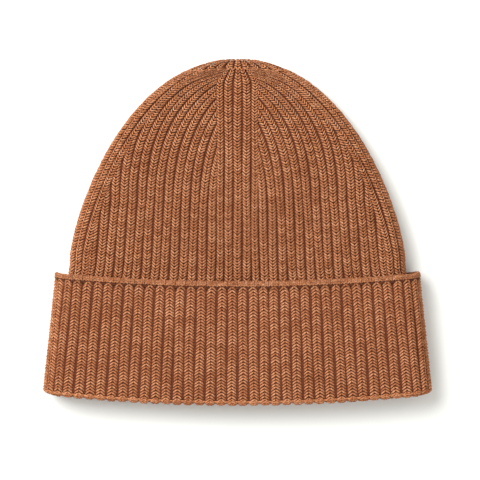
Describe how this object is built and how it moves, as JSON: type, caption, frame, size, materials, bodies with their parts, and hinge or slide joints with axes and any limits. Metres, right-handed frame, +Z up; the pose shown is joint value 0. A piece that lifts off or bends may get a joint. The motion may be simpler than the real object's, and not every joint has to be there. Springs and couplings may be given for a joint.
{
  "type": "rib-knit watch cap",
  "caption": "Rust-orange rib-knit wool beanie with a deep turned-up cuff, laid flat.",
  "frame": {"origin": "centre of the bounding box's underside, on the surface the cap lies on", "axes": "+X across the cap, +Y from the fold towards the crown tip, +Z up through its thickness"},
  "size_m": [0.2212, 0.1983, 0.0226],
  "materials": {
    "wool_knit": "matte",
    "linking_yarn": "matte",
    "label_satin": "satin"
  },
  "bodies": {
    "crown": {"front_left_gore": "wool_knit", "front_right_gore": "wool_knit", "front_centre_band": "wool_knit", "back_left_gore": "wool_knit", "back_right_gore": "wool_knit", "left_side_band": "wool_knit", "right_side_band": "wool_knit", "back_seam": "linking_yarn", "crown_gather": "linking_yarn", "front_fold": "wool_knit", "back_fold": "wool_knit"},
    "front_cuff": {"front_cuff_panel": "wool_knit", "front_cuff_edge": "wool_knit"},
    "back_cuff": {"back_cuff_left": "wool_knit", "back_cuff_right": "wool_knit", "cuff_seam": "linking_yarn", "back_cuff_edge": "wool_knit"},
    "care_label": {"care_label": "label_satin"}
  },
  "joints": [
    {"name": "front_cuff_turn", "type": "hinge", "parent": "crown", "child": "front_cuff", "pos_m": [0, -0.0962, 0.0171], "axis": [1, 0, 0], "range_deg": [0, 180], "deforming": ["front_fold"]},
    {"name": "back_cuff_turn", "type": "hinge", "parent": "crown", "child": "back_cuff", "pos_m": [0, -0.0962, 0.0055], "axis": [-1, 0, 0], "range_deg": [0, 180], "deforming": ["back_fold"]},
    {"name": "label_lift", "type": "hinge", "parent": "crown", "child": "care_label", "pos_m": [0.0018, -0.058, 0.00655], "axis": [0, -1, 0], "range_deg": [0, 24]}
  ],
  "couplings": [
    {"joint": "back_cuff_turn", "follows": "front_cuff_turn", "ratio": 1}
  ]
}
